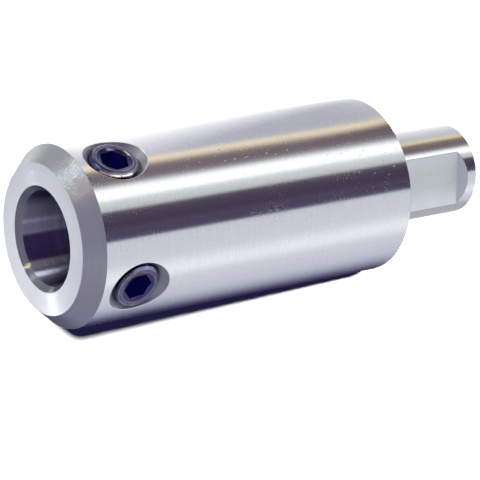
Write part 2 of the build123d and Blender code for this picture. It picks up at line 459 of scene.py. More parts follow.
def milled_flat():
    """The clamping flat: end-milled, dull."""
    p = Paint("milled_clamping_flat")
    sweep = p.noise(p.scaled((900, 900, 2600)), 1.0, 3.0, 0.6)
    cloud = p.noise(p.coords, 220.0, 3.0, 0.5)
    colour = p.mix(p.ramp(sweep, 0.3, 0.7), (0.575, 0.60, 0.585), (0.615, 0.64, 0.625))
    # painted light: paler along its two long edges, more so along one
    across = p.math("MULTIPLY", p.vmath("DOT_PRODUCT", p.coords, (0.8988, 0.4384, 0)), 1000.0)
    colour = p.mix(p.ramp(across, -1.0, -4.5), colour, (0.73, 0.755, 0.745))
    colour = p.mix(p.ramp(across, 2.0, 5.0), colour, (0.64, 0.665, 0.65))
    # painted light: the flat's ramp that faces +Z is painted paler
    facing = p.nt.nodes.new("ShaderNodeNewGeometry").outputs["Normal"]
    end = p.ramp(p.vmath("DOT_PRODUCT", facing, (0, 0, 1)), 0.4, 0.7)
    colour = p.mix(end, colour, (0.86, 0.89, 0.87))
    p.set(Base_Color=colour, Metallic=1.0, Roughness=p.ramp(cloud, 0.3, 0.7, 0.36, 0.44))
    p.set(Normal=p.bump(sweep, 0.10, 0.00002))
    return p.mat


def sink_steel():
    """Countersinks and tapped walls: cut, oily, darker."""
    p = Paint("cut_countersink")
    lines = p.noise(p.coords, 3500.0, 3.0, 0.6)
    cloud = p.noise(p.coords, 260.0, 3.0, 0.5)
    colour = p.mix(p.ramp(cloud, 0.3, 0.7), (0.33, 0.325, 0.38), (0.46, 0.455, 0.51))
    p.set(Base_Color=colour, Metallic=1.0, Roughness=p.ramp(cloud, 0.3, 0.7, 0.34, 0.44))
    p.set(Normal=p.bump(lines, 0.12, 0.00003))
    return p.mat


def black_oxide(name, axis, rubbed, glints):
    """Blackened alloy steel: worn bright along the edges of the outer end, with painted shade on the thread
    and on the cone of the hexagon's mouth. axis is the screw's own axis, and the pattern lies round it; rubbed is how
    far the edges are worn, and glints are (direction from that axis, colour, inner and outer radius, lowest height)
    of painted glints: highlights painted into the colour."""
    p = Paint(name)
    grain = p.noise(p.coords, 4200.0, 3.0, 0.6)
    cloud = p.noise(p.coords, 520.0, 3.0, 0.55)
    keep = [0.0 if abs(a) > 0.5 else 1000.0 for a in axis]
    off = p.scaled(tuple(keep), p.vmath("SUBTRACT", p.coords, (0, 0, SCREW_Z / 1000)))
    r = p.vmath("LENGTH", off)
    h = p.math("MULTIPLY", p.vmath("DOT_PRODUCT", p.coords, tuple(float(a) for a in axis)), 1000.0)
    crown = p.ramp(p.math("ABSOLUTE", p.math("SUBTRACT", r, CROWN_R - 0.02)), 0.15, 0.06)
    lip = p.ramp(p.math("ABSOLUTE", p.math("SUBTRACT", r, HEX_MOUTH_R)), 0.11, 0.04)
    patchy = p.ramp(p.noise(p.coords, 900.0, 3.0, 0.6), 0.38, 0.58, 0.25, 1.0)
    bevel = p.math("MULTIPLY", p.ramp(r, CROWN_R - 0.02, CROWN_R + 0.08), p.ramp(p.noise(p.coords, 700.0, 2.0, 0.5), 0.42, 0.62, 0.05, 0.35))
    edges = p.math("MAXIMUM", crown, p.math("MULTIPLY", lip, 0.6))
    worn = p.math("MULTIPLY", p.math("MAXIMUM", p.math("MULTIPLY", edges, patchy), bevel), p.ramp(h, 17.38, 17.5))
    # painted shade: the thread below the outer end is darkened toward near-black navy
    thread = p.math("MULTIPLY", p.ramp(h, 17.45, 17.3), p.ramp(r, 4.0, 4.05))
    colour = p.mix(p.ramp(cloud, 0.32, 0.68), (0.075, 0.070, 0.135), (0.130, 0.124, 0.200))
    # painted shade: the cone round the hexagon's mouth is darkened to navy
    cone = p.ramp(r, HEX_MOUTH_R - 0.04, HEX_MOUTH_R - 0.12)
    colour = p.mix(p.math("MULTIPLY", cone, 0.8), colour, (0.028, 0.024, 0.095))
    colour = p.mix(p.math("MULTIPLY", thread, 0.7), colour, (0.02, 0.015, 0.07))
    worn = p.math("MULTIPLY", worn, rubbed)
    colour = p.mix(worn, colour, (0.44, 0.43, 0.50))
    way = p.vmath("NORMALIZE", off)
    # painted glints: pale, cream, pink or lilac patches at set directions round the axis
    for direction, shine, r_low, r_high, h_low in glints:
        near = p.ramp(p.vmath("DOT_PRODUCT", way, tuple(float(a) for a in direction)), 0.955, 0.985)
        width = p.math("MULTIPLY", p.ramp(r, r_low - 0.04, r_low + 0.04), p.ramp(r, r_high + 0.06, r_high - 0.06))
        spot = p.math("MULTIPLY", p.math("MULTIPLY", near, width), p.ramp(h, h_low, h_low + 0.15))
        spot = p.math("MULTIPLY", spot, p.ramp(p.noise(p.coords, 1100.0, 2.0, 0.5), 0.38, 0.5, 0.25, 1.0))
        colour = p.mix(spot, colour, shine)
    rough = p.math("ADD", p.ramp(cloud, 0.3, 0.7, 0.22, 0.30), p.math("MULTIPLY", worn, 0.2))
    p.set(Base_Color=colour, Metallic=1.0, Roughness=rough)
    p.set(Normal=p.bump(grain, 0.10, 0.00002))
    return p.mat


def shaded_black_hexagon():
    """Down in the hexagon socket: the black oxide darkened further to a near-black navy, as painted shade in the deep
    recess.
    """
    p = Paint("black_oxide_hexagon_shaded")
    cloud = p.noise(p.coords, 900.0, 3.0, 0.55)
    p.set(Base_Color=p.mix(p.ramp(cloud, 0.3, 0.7), (0.00001, 0.00001, 0.0013), (0.00002, 0.00002, 0.0017)))
    p.set(Metallic=0.0, Roughness=p.ramp(cloud, 0.3, 0.7, 0.35, 0.5))
    p.bsdf.inputs["Specular IOR Level"].default_value = 0.04
    return p.mat


STEEL, SATIN, FACE, BORE, SINK, FLAT, MOUTH_CUT = range(7)
body_materials = [
    ground_steel(), turned_satin("turned_satin_chamfer", (0.45, 0.445, 0.49), (0.51, 0.505, 0.55), 0.34, 0.05, 0.8),
    turned_face(), bored_steel(), sink_steel(), milled_flat(),
    turned_satin("turned_mouth_chamfer", (0.24, 0.235, 0.275), (0.31, 0.305, 0.345), 0.16, 0.05),
]
hexagon_black_shaded = shaded_black_hexagon()
# each screw's painted glints: highlights painted into its colour on the bevel, thread crest and cone
screw_materials = {
    "front": [black_oxide("black_oxide_front", (0, -1, 0), 0.45, [
        ((0.95, 0, -0.31), (0.24, 0.235, 0.33), 4.32, 5.2, 17.2), ((0.998, 0, -0.06), (0.33, 0.32, 0.45), 4.32, 5.2, 16.9),
        ((0.98, 0, 0.20), (0.25, 0.245, 0.35), 4.32, 5.2, 16.9),
    ]), hexagon_black_shaded],
    "right": [black_oxide("black_oxide_right", (1, 0, 0), 0.8, [
        ((0, -0.998, -0.07), (0.97, 0.97, 1.0), 4.60, 5.2, 16.2), ((0, -0.90, 0.44), (0.90, 0.78, 0.62), 4.60, 5.2, 16.2),
        ((0, -0.63, 0.777), (0.66, 0.54, 0.62), 4.60, 5.2, 16.2), ((0, 0.97, -0.24), (0.42, 0.38, 0.52), 3.0, 3.5, 17.2),
        ((0, 0.33, -0.94), (0.66, 0.60, 0.50), 3.45, 3.85, 17.2),
    ]), hexagon_black_shaded],
}

# ---------------------------------------------------------------------------
# Arbor body
# ---------------------------------------------------------------------------
TURN = 288  # columns round the arbor
STEP = 2 * pi / TURN
HOLES = {"front": ((0, -1, 0), -90.0), "right": ((1, 0, 0), 0.0)}
body_theta = radians(-63.75) + np.arange(TURN + 1) * STEP
shank_theta = radians(FLAT_TURN) + np.arange(TURN + 1) * STEP
skin = Skin()

EDGE = 0.07
outline = [
    (PILOT_R + PILOT_CHAMFER, 0, EDGE, SATIN),
    (SHANK_R - SHANK_CHAMFER, 0, EDGE, SATIN),
    (SHANK_R, SHANK_CHAMFER, EDGE, "shank"),
    (SHANK_R, SHANK_LEN, 0.25, "shoulder"),
    (BODY_R - SHOULDER_CHAMFER, SHANK_LEN, EDGE, SATIN),
    (BODY_R, SHANK_LEN + SHOULDER_CHAMFER, EDGE, "body"),
    (BODY_R, TOTAL - NOSE_Z, 0.10, SATIN),
    (BODY_R - NOSE_R, TOTAL, 0.10, FACE),
    (SOCKET_R + MOUTH, TOTAL, 0.08, "mouth"),
    (SOCKET_R, TOTAL - MOUTH, 0.08, "socket"),
    (SOCKET_R, SOCKET_FLOOR, 0.15, "floor"),
    (PILOT_R + PILOT_CHAMFER, SOCKET_FLOOR, EDGE, SATIN),
    (PILOT_R, SOCKET_FLOOR - PILOT_CHAMFER, EDGE, "pilot"),
    (PILOT_R, PILOT_CHAMFER, EDGE, SATIN),
]
TAGS = {"shank": STEEL, "shoulder": SATIN, "body": STEEL, "mouth": MOUTH_CUT, "socket": BORE, "floor": SINK, "pilot": SINK}


def rim_radius(s):
    """Radius at which the countersink's cone meets the body, s = sin of the angle round the hole's axis."""
    a = BODY_R - SINK_R
    return (-2 * a + np.sqrt(4 * a * a + 4 * (1 + s * s) * (BODY_R ** 2 - a * a))) / (2 * (1 + s * s))


def on_cylinder(big_r, hole_deg, r, phi):
    """Angle and height on the arbor's cylinder of a point at r, phi from a hole's axis."""
    return radians(hole_deg) - np.arcsin(r * np.sin(phi) / big_r), SCREW_Z + r * np.cos(phi)


def patch(big_r, hole_deg, r_edge, cols, rows, z0, z1, inward, mat, rings=7):
    """The cylinder's wall from a hole's edge out to a rectangle that the rest of the wall meets."""
    half = cols // 2
    w = half * STEP
    th, zz = [], []
    for j in range(half):
        th.append(-j * STEP), zz.append(z1)
    for j in range(rows):
        th.append(-w), zz.append(z1 + (z0 - z1) * j / rows)
    for j in range(cols):
        th.append(-w + j * STEP), zz.append(z0)
    for j in range(rows):
        th.append(w), zz.append(z0 + (z1 - z0) * j / rows)
    for j in range(half + 1):
        th.append(w - j * STEP), zz.append(z1)
    th, zz = radians(hole_deg) + np.array(th), np.array(zz)
    assert len(th) == ROUND + 1
    t0, y0 = on_cylinder(big_r, hole_deg, r_edge, PHI)
    k = (np.linspace(0, 1, rings + 1) ** 1.25)[:, None]
    t, y = t0 * (1 - k) + th * k, y0 * (1 - k) + zz * k
    p = np.stack([big_r * np.cos(t), big_r * np.sin(t), y], -1)
    n = np.stack([np.cos(t), np.sin(t), np.zeros_like(t)], -1) * inward
    skin.grid(p, n, mat)


def wall_with_holes(big_r, z_from, z_to, z0, z1, cols, inward, mat, edges):
    """A cylinder between two heights, with a rectangle round each hole left for its patch."""
    for a, b in ((z_from, z0), (z1, z_to)):
        zs = np.linspace(a, b, 6)
        lathe(skin, [(big_r, z) for z in zs], [(inward, 0)] * len(zs), body_theta, mat)
    w = cols // 2 * STEP
    rows = (ROUND - 2 * cols) // 2
    zs = [z0 + (z1 - z0) * j / rows for j in range(rows + 1)]
    free = [(radians(0) + w, radians(270) - w), (radians(-90) + w, radians(0) - w)]
    for a, b in free:
        k = int(round((b - a) / STEP))
        t = a + np.arange(k + 1) * STEP
        lathe(skin, [(big_r, z) for z in zs], [(inward, 0)] * len(zs), t, mat)
    for name, (e, deg) in HOLES.items():
        patch(big_r, deg, edges[name], cols, rows, z0, z1, inward, mat)


def hole_radius(name):
    def radius(h, phi):
        cone = h - (BODY_R - SINK_R)
        return np.maximum(cone, thread_radius(h - PITCH * phi / (2 * pi) - THREAD_REF[name], True))
    return radius


# the edge of each tapped hole on the socket's wall
def inner_edge(radius):
    r = np.full_like(PHI, TAP_R)
    for _ in range(40):
        h = np.sqrt(SOCKET_R ** 2 - (r * np.sin(PHI)) ** 2)
        r = 0.5 * r + 0.5 * radius(h, PHI)
    h = np.sqrt(SOCKET_R ** 2 - (r * np.sin(PHI)) ** 2)
    return r, h


wall_edge = {n: inner_edge(hole_radius(n)) for n in HOLES}
rim = rim_radius(np.sin(PHI))
RIM_OUT, RIM_IN = 0.10, 0.07
r_a, r_b = rim + RIM_OUT, rim - RIM_IN
h_b = r_b + BODY_R - SINK_R

for i, (pts, nrm, tag) in enumerate(rounded(outline, closed=True)):
    # the outline runs anticlockwise in (r, z), so the metal is on its left: turn the normals out
    nrm = -nrm
    (r0, z_0), (r1, z_1) = pts[0], pts[-1]
    mat = TAGS.get(tag, tag)
    straight = len(pts) == 2
    on_shank = (max(r0, r1) < 10 and max(z_0, z_1) < 60) or max(r0, r1) < PILOT_R + PILOT_CHAMFER + 0.2
    theta = shank_theta if on_shank else body_theta
    if straight and tag == "shank":
        shank_ends = (z_0, z_1)
        continue
    if straight and tag == "body":
        wall_with_holes(BODY_R, z_0, z_1, 83.4, 99.4, 44, 1.0, STEEL, {n: r_a for n in HOLES})
        continue
    if straight and tag == "socket":
        wall_with_holes(SOCKET_R, z_1, z_0, 84.4, 98.4, 64, -1.0, BORE, {n: wall_edge[n][0] for n in HOLES})
        continue
    if straight:
        k = np.linspace(0, 1, 9 if abs(r1 - r0) + abs(z_1 - z_0) > 2 else 3)[:, None]
        pts = pts[0] * (1 - k) + pts[1] * k
        nrm = np.repeat(nrm[:1], len(pts), 0)
    if straight and tag == FACE:
        # faced very slightly dished down toward the rim
        nrm = nrm + np.stack([0.05 * (pts[:, 0] - SOCKET_R) / (BODY_R - NOSE_R - SOCKET_R), 0 * pts[:, 0]], -1)
    if straight and tag == "shoulder":
        lathe(skin, pts[:-1], nrm[:-1], shank_theta, mat)
        lathe(skin, pts[-2:], nrm[-2:], shank_theta, mat, body_theta)
        continue
    if straight and tag == "floor":
        lathe(skin, pts[:-1], nrm[:-1], body_theta, mat)
        lathe(skin, pts[-2:], nrm[-2:], body_theta, mat, shank_theta)
        continue
    lathe(skin, pts, nrm, theta, mat)

# shank wall with the clamping flat: rows follow the flat's outline
cut = rounded([
    (FLAT_Z0 - FLAT_RAMP, SHANK_R, 0, 0), (FLAT_Z0, FLAT_H, 0.5, 0),
    (FLAT_Z1, FLAT_H, 0.5, 0), (FLAT_Z1 + FLAT_RAMP, SHANK_R, 0, 0),
], arcs=6)
cut_p, cut_n = [], []
for pts, nrm, _ in cut:
    if len(pts) == 2:
        k = len(pts) and (np.linspace(0, 1, 17) if abs(pts[1][1] - pts[0][1]) > 0.1 else np.linspace(0, 1, 9))
        if pts[0][1] > FLAT_H + 1:
            k = 1 - np.cos(k * pi / 2)
        elif pts[1][1] > FLAT_H + 1:
            k = np.sin(k * pi / 2)
        p = pts[0] * (1 - k[:, None]) + pts[1] * k[:, None]
        n = np.repeat(nrm[:1], len(p), 0)
    else:
        p, n = pts, nrm
    cut_p.append(p)
    cut_n.append(n)
f_turn = radians(FLAT_TURN)
f_n = np.array([cos(f_turn), sin(f_turn), 0.0])
f_t = np.array([-sin(f_turn), cos(f_turn), 0.0])
row_p, row_n = np.concatenate(cut_p), np.concatenate(cut_n)
half_w = np.sqrt(np.maximum(SHANK_R ** 2 - row_p[:, 1] ** 2, 0))
half_w[0] = half_w[-1] = 0.0
nib = np.minimum(0.06, 0.3 * half_w)
side = np.arcsin(np.clip((half_w + nib) / SHANK_R, -1, 1))
k = np.linspace(-1, 1, 33)
t = (half_w - nib)[:, None] * k[None]
z = np.repeat(row_p[:, :1], len(k), 1)
hgt = np.repeat(row_p[:, 1:], len(k), 1)
p = hgt[..., None] * f_n + t[..., None] * f_t + z[..., None] * np.array([0, 0, 1.0])
n = row_n[:, None, 1:] * f_n + row_n[:, None, :1] * np.array([0, 0, 1.0])
n = np.repeat(n, len(k), 1)
skin.grid(p, n, FLAT)
for s in (-1, 1):
    a_ang = f_turn + s * side
    outer = np.stack([SHANK_R * np.cos(a_ang), SHANK_R * np.sin(a_ang), row_p[:, 0]], -1)
    outer_n = np.stack([np.cos(a_ang), np.sin(a_ang), np.zeros_like(a_ang)], -1)
    inner = p[:, -1 if s > 0 else 0]
    inner_n = n[:, 0]
    e_ang = f_turn + s * np.arcsin(np.clip(half_w / SHANK_R, -1, 1))
    true_edge = np.stack([SHANK_R * np.cos(e_ang), SHANK_R * np.sin(e_ang), row_p[:, 0]], -1)
    mid = (outer + inner) / 2 * 0.7 + true_edge * 0.3
    skin.grid(np.stack([inner, mid, outer], 1), np.stack([inner_n, unit(inner_n + outer_n), outer_n], 1), STEEL)
q = np.linspace(0, 1, TURN + 1)
ang = f_turn + side[:, None] + q[None] * (2 * pi - 2 * side[:, None])
skin.grid(np.stack([SHANK_R * np.cos(ang), SHANK_R * np.sin(ang), np.repeat(row_p[:, :1], TURN + 1, 1)], -1),
          np.stack([np.cos(ang), np.sin(ang), np.zeros_like(ang)], -1), STEEL)
for a, b in ((shank_ends[0], row_p[0, 0]), (row_p[-1, 0], shank_ends[1])):
    zs = np.linspace(a, b, 4)
    lathe(skin, [(SHANK_R, z) for z in zs], [(1, 0)] * len(zs), shank_theta, STEEL)

# countersinks and tapped walls
for name, (e, deg) in HOLES.items():
    ta, za = on_cylinder(BODY_R, deg, r_a, PHI)
    pa = np.stack([BODY_R * np.cos(ta), BODY_R * np.sin(ta), za], -1)
    na = np.stack([np.cos(ta), np.sin(ta), np.zeros_like(ta)], -1)
    pb = place(e, h_b, r_b, PHI)
    nb = direct(e, np.ones_like(PHI), -np.ones_like(PHI), np.zeros_like(PHI), PHI)
    te, ze = on_cylinder(BODY_R, deg, rim, PHI)
    pe = np.stack([BODY_R * np.cos(te), BODY_R * np.sin(te), ze], -1)
    pm = (pa + pb) / 2 * 0.65 + pe * 0.35
    skin.grid(np.stack([pa, pm, pb]), np.stack([na, unit(na + nb), nb]), STEEL)
    helix_bands(skin, e, hole_radius(name), THREAD_REF[name], wall_edge[name][1], h_b, True, -1.0, SINK, wall_edge[name][0])

arbor = skin.make("arbor_turned_body", body_materials)
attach(arbor, "arbor")
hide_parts("arbor_body")


# ---------------------------------------------------------------------------
# Set screws
# ---------------------------------------------------------------------------
def set_screw(name, side, body, node, hex_turn):
    e = HOLES[side][0]
    s = Skin()
    tip, top = SCREW_TOP - SCREW_LEN, SCREW_TOP
    b = 0.06

    ref = THREAD_REF[side]
    crown_w = THREAD_R - CROWN_R

    def radius(h, phi):
        r = thread_radius(h - PITCH * phi / (2 * pi) - ref, False)
        down = np.clip((top - h) / crown_w, 0, 1)  # the bevel round the outer end is worn to a curve
        r = np.minimum(r, CROWN_R + crown_w * (0.35 * down + 0.65 * np.sqrt(1 - (1 - down) ** 2)))
        return np.minimum(r, POINT_R + (h - tip))

    lo, hi = np.full_like(PHI, tip + b), np.full_like(PHI, top - b)
    helix_bands(s, e, radius, ref, lo, hi, False, 1.0, 0)
    # the thread's groove runs out through the outer end
    def outer_edge(phi):
        return np.minimum(CROWN_R - b, radius(top - 1e-6, phi))

    # outer end: crown edge, flat ring, bevel of the socket's mouth, six walls, floor and drill point
    corner = radians(hex_turn)
    turn = PHI + corner
    shift = int(round(corner / (2 * pi / ROUND)))
    one = np.ones_like(PHI)
    slope = MOUTH_DEPTH / (HEX_MOUTH_R - MOUTH_IN_R)
    lie = unit([1.0, -slope])  # the cone's normal: along the axis, away from it
    half = unit([1.0 + lie[0], lie[1]])
    rows = [
        (top - b, radius(top - b, PHI), 0.85, 0.53), (top - 0.3 * b, radius(top - 0.3 * b, PHI), 0.95, 0.31),
        (top, outer_edge(PHI), 1, 0), (top, HEX_MOUTH_R + b, 1, 0),
        (top - 0.25 * slope * b, HEX_MOUTH_R, half[0], half[1]),
        (top - slope * b, HEX_MOUTH_R - b, lie[0], lie[1]),
    ]
    for (h0, r0, nh0, nr0), (h1, r1, nh1, nr1) in zip(rows[:3], rows[1:3]):
        s.grid(place(e, np.stack([h0 * one, h1 * one]), np.stack([r0 * one, r1 * one]), PHI[None]),
               np.stack([direct(e, nh0 * one, nr0 * one, 0 * one, PHI), direct(e, nh1 * one, nr1 * one, 0 * one, PHI)]), 0)
    rolled = 2 * pi / ROUND * (np.arange(ROUND + 1) + shift)
    s.grid(np.stack([place(e, top * one, outer_edge(rolled), rolled), place(e, top * one, (HEX_MOUTH_R + b) * one, turn)]),
           direct(e, np.ones((2, ROUND + 1)), np.zeros((2, ROUND + 1)), np.zeros((2, ROUND + 1)), PHI[None]), 0)
    for (h0, r0, nh0, nr0), (h1, r1, nh1, nr1) in zip(rows[3:], rows[4:]):
        s.grid(place(e, np.stack([h0 * one, h1 * one]), np.stack([r0 * one, r1 * one]), turn[None]),
               np.stack([direct(e, nh0 * one, nr0 * one, 0 * one, turn), direct(e, nh1 * one, nr1 * one, 0 * one, turn)]), 0)
    per = ROUND // 6
    seg = PHI - np.floor(PHI / (pi / 3) + 1e-9) * (pi / 3) - pi / 6
    # the hexagon's edge is broken by a nib of b between the cone and the walls
    def on_cone(r):
        return top - slope * (HEX_MOUTH_R - r)

    hex_r = HEX_AF / 2 / np.cos(seg)
    cone_n = direct(e, lie[0] * one, lie[1] * one, 0 * one, turn)
    s.grid(np.stack([place(e, (top - slope * b) * one, (HEX_MOUTH_R - b) * one, turn), place(e, on_cone(hex_r + 0.5 * b), hex_r + 0.5 * b, turn)]),
           np.stack([cone_n, cone_n]), 0)
    floor_h = top - HEX_DEPTH
    for k in range(6):
        a = slice(k * per, (k + 1) * per + 1)
        sg = np.linspace(-pi / 6, pi / 6, per + 1)
        rr = HEX_AF / 2 / np.cos(sg)
        tt = turn[a]
        hh = on_cone(rr) - 0.7 * b
        mid_dir = corner + (k + 0.5) * pi / 3
        wall_n = direct(e, 0.0, -1.0, 0.0, mid_dir)
        lip_n = direct(e, lie[0], lie[1], 0.0, tt)
        s.grid(np.stack([place(e, on_cone(rr + 0.5 * b), rr + 0.5 * b, tt), place(e, hh, rr, tt)]),
               np.stack([lip_n, np.broadcast_to(wall_n, lip_n.shape)]), 0)
        ks = np.linspace(0, 1, 7)[:, None]
        s.grid(place(e, hh[None] * (1 - ks) + floor_h * ks, rr[None], tt[None]), wall_n, 1)
        s.grid(np.stack([place(e, floor_h, rr, tt), place(e, floor_h, HEX_AF / 2 + 0 * rr, tt)]), direct(e, 1.0, 0.0, 0.0, 0.0), 1)
    drill = HEX_AF / 2 * tan(radians(30))
    ks = np.linspace(0, 1, 9)[:, None]
    s.grid(place(e, floor_h - drill * ks, HEX_AF / 2 * (1 - ks), turn[None]),
           direct(e, cos(radians(30)) * np.ones((9, ROUND + 1)), -0.5 * np.ones((9, ROUND + 1)), 0, turn[None]), 1)
    # inner end: chamfer's edge and the flat point
    low = [(tip + b, POINT_R + b, -0.7071, 0.7071), (tip + 0.3 * b, POINT_R + 0.02 * b, -0.924, 0.383), (tip, POINT_R - b, -1, 0)]
    low += [(tip, (POINT_R - b) * f, -1, 0) for f in (0.66, 0.33, 0.0)]
    for (h0, r0, nh0, nr0), (h1, r1, nh1, nr1) in zip(low, low[1:]):
        s.grid(place(e, np.stack([h0 * one, h1 * one]), np.stack([r0 * one, r1 * one]), PHI[None]),
               np.stack([direct(e, nh0 * one, nr0 * one, 0 * one, PHI), direct(e, nh1 * one, nr1 * one, 0 * one, PHI)]), 0)
    piece = s.make(name, screw_materials[side])
    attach(piece, body)
    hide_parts(node)
    return piece


front_screw = set_screw("front_threaded_screw", "front", "front_screw", "front_set_screw", HEX_TURN)
right_screw = set_screw("right_threaded_screw", "right", "right_screw", "right_set_screw", HEX_TURN)

# ---------------------------------------------------------------------------
# Camera
# ---------------------------------------------------------------------------
cam_data = bpy.data.cameras.new("camera")
cam = bpy.data.objects.new("camera", cam_data)
bpy.context.scene.collection.objects.link(cam)
cam_data.sensor_fit, cam_data.sensor_width, cam_data.sensor_height = "HORIZONTAL", 36.0, 36.0
cam_data.lens = 177.376
cam_data.clip_start, cam_data.clip_end = 0.01, 50.0
right = Vector((0.2571825, -0.5154780, -0.8173981))
up = Vector((0.7669803, 0.6234453, -0.1518458))
back = Vector((0.5878761, -0.5878761, 0.5557007))
place_c = Vector((0.2811917, -0.2913538, 0.3283254))
cam.matrix_world = Matrix((
    (right.x, up.x, back.x, place_c.x), (right.y, up.y, back.y, place_c.y),
    (right.z, up.z, back.z, place_c.z), (0, 0, 0, 1)))
bpy.context.scene.camera = cam

# ---------------------------------------------------------------------------
# Studio
# ---------------------------------------------------------------------------
scene = bpy.context.scene
scene.view_settings.view_transform = "Standard"
scene.view_settings.look = "None"


def disc(name, radius, z, count=96):
    mesh = bpy.data.meshes.new(name)
    ring_ = [(radius * cos(2 * pi * k / count), radius * sin(2 * pi * k / count), z) for k in range(count)]
    mesh.from_pydata(ring_, [], [list(range(count))])
    mesh.update()
    o = bpy.data.objects.new(name, mesh)
    scene.collection.objects.link(o)
    return o


floor = disc("studio_floor", 4.0, 0.0)
paper = Paint("pale_paper")
paper_grain = paper.noise(paper.coords, 900.0, 3.0, 0.6)
paper.set(Base_Color=paper.mix(paper_grain, (0.024, 0.0195, 0.077), (0.026, 0.0215, 0.081)), Roughness=0.9)
paper.bsdf.inputs["Specular IOR Level"].default_value = 0.0
floor.data.materials.append(paper.mat)
floor.visible_glossy = False

count, rise = 64, 24
verts, faces = [], []
for j in range(rise + 1):
    a = pi / 2 * j / rise
    for i in range(count):
        b = 2 * pi * i / count
        verts.append((4.0 * cos(a) * cos(b), 4.0 * cos(a) * sin(b), 4.0 * sin(a)))
for j in range(rise):
    for i in range(count):
        faces.append((j * count + i, j * count + (i + 1) % count, (j + 1) * count + (i + 1) % count, (j + 1) * count + i))
dome_mesh = bpy.data.meshes.new("studio_backdrop")
dome_mesh.from_pydata(verts, [], faces)
dome = bpy.data.objects.new("studio_backdrop", dome_mesh)
scene.collection.objects.link(dome)
backdrop = Paint("pale_backdrop")
backdrop.set(Base_Color=(0, 0, 0, 1), Roughness=1.0, Emission_Color=(1, 1, 1, 1), Emission_Strength=1.0)
backdrop.bsdf.inputs["Specular IOR Level"].default_value = 0.0
dome.data.materials.append(backdrop.mat)
for ray in ("visible_diffuse", "visible_glossy", "visible_transmission", "visible_volume_scatter", "visible_shadow"):
    setattr(dome, ray, False)

def curved_panel(name, radius, arcs, material):
    """A staging panel bent round the arbor's axis, seen only in the steel. arcs: (from, to, low, high), with
    angles from the camera's side in degrees and heights in metres."""
    verts, faces = [], []
    for a0, a1, z0, z1 in arcs:
        start, across, along = len(verts), 24, 10
        for i in range(across + 1):
            a = radians(a0 + (a1 - a0) * i / across - 45)
            for j in range(along + 1):
                verts.append((radius * cos(a), radius * sin(a), z0 + (z1 - z0) * j / along))
        for i in range(across):
            for j in range(along):
                k = start + i * (along + 1) + j
                faces.append((k, k + 1, k + along + 2, k + along + 1))
    mesh = bpy.data.meshes.new(name)
    mesh.from_pydata(verts, [], faces)
    panel = bpy.data.objects.new(name, mesh)
    scene.collection.objects.link(panel)
    mesh.materials.append(material)
    for ray in ("visible_camera", "visible_diffuse", "visible_transmission", "visible_volume_scatter", "visible_shadow"):
        setattr(panel, ray, False)


# Behind the arbor's upper side: its lit part ends in a soft slanting edge, and its foot, which only the
# shank mirrors, is gold beside brown.
glow = Paint("panel_glow")
parts = glow.node("ShaderNodeSeparateXYZ", Vector=glow.coords)
pu = glow.math("SUBTRACT", parts.outputs[0], parts.outputs[1])
pv = glow.math("ADD", parts.outputs[0], parts.outputs[1])
turned = glow.math("MULTIPLY", glow.math("ARCTAN2", pv, pu), 180 / pi)
slant = glow.math("ADD", turned, glow.math("MULTIPLY", parts.outputs[2], 850.0))
shade = glow.mix(glow.ramp(slant, 115.0, 168.0), (0.66, 0.67, 0.75), (1.62, 1.62, 1.64))
foot = glow.mix(glow.ramp(turned, 73.0, 75.5), (0.25, 0.20, 0.155), (1.15, 0.98, 0.60))
foot = glow.mix(glow.ramp(turned, 83.0, 87.0), foot, (0.80, 0.81, 0.88))
foot = glow.mix(glow.ramp(turned, 95.0, 150.0), foot, (1.35, 1.35, 1.38))
shade = glow.mix(glow.ramp(parts.outputs[2], -0.009, -0.013), shade, foot)
glow.set(Base_Color=(0, 0, 0, 1), Roughness=1.0, Emission_Color=shade, Emission_Strength=1.0)
glow.bsdf.inputs["Specular IOR Level"].default_value = 0.0
curved_panel("studio_panel_upper", 0.060, [(72, 178, -0.075, 0.0705), (61, 72, -0.075, -0.010)], glow.mat)

# Beside the shank's lower side, below what the body mirrors.
soft = Paint("panel_soft")
soft.set(Base_Color=(0, 0, 0, 1), Roughness=1.0, Emission_Color=(0.58, 0.59, 0.66, 1), Emission_Strength=1.0)
soft.bsdf.inputs["Specular IOR Level"].default_value = 0.0
curved_panel("studio_panel_lower", 0.040, [(-178, -97, -0.034, 0.001)], soft.mat)

# What the steel mirrors: soft panels and flags standing round it, each given by the turn on the
# cylinder at which it shows (its own bearing is twice that), and its light.
world = bpy.data.worlds.new("studio")
scene.world = world
world.use_nodes = True
wt = world.node_tree
wt.nodes.clear()


def wnode(kind, **kw):
    n = wt.nodes.new(kind)
    for key, value in kw.items():
        setattr(n, key, value)
    return n


def wmath(op, a, b=0.0):
    n = wnode("ShaderNodeMath", operation=op)
    for i, value in enumerate((a, b)):
        if isinstance(value, bpy.types.NodeSocket):
            wt.links.new(value, n.inputs[i])
        else:
            n.inputs[i].default_value = value
    return n.outputs[0]


coord = wnode("ShaderNodeTexCoord")
sep = wnode("ShaderNodeSeparateXYZ")
wt.links.new(coord.outputs["Generated"], sep.inputs[0])
to_camera = wmath("SUBTRACT", wmath("MULTIPLY", sep.outputs[0], 0.70711), wmath("MULTIPLY", sep.outputs[1], 0.70711))
to_side = wmath("ADD", wmath("MULTIPLY", sep.outputs[0], 0.70711), wmath("MULTIPLY", sep.outputs[1], 0.70711))
bearing = wmath("ARCTAN2", to_side, to_camera)
place_on_ramp = wmath("ADD", wmath("DIVIDE", bearing, 2 * pi), 0.5)

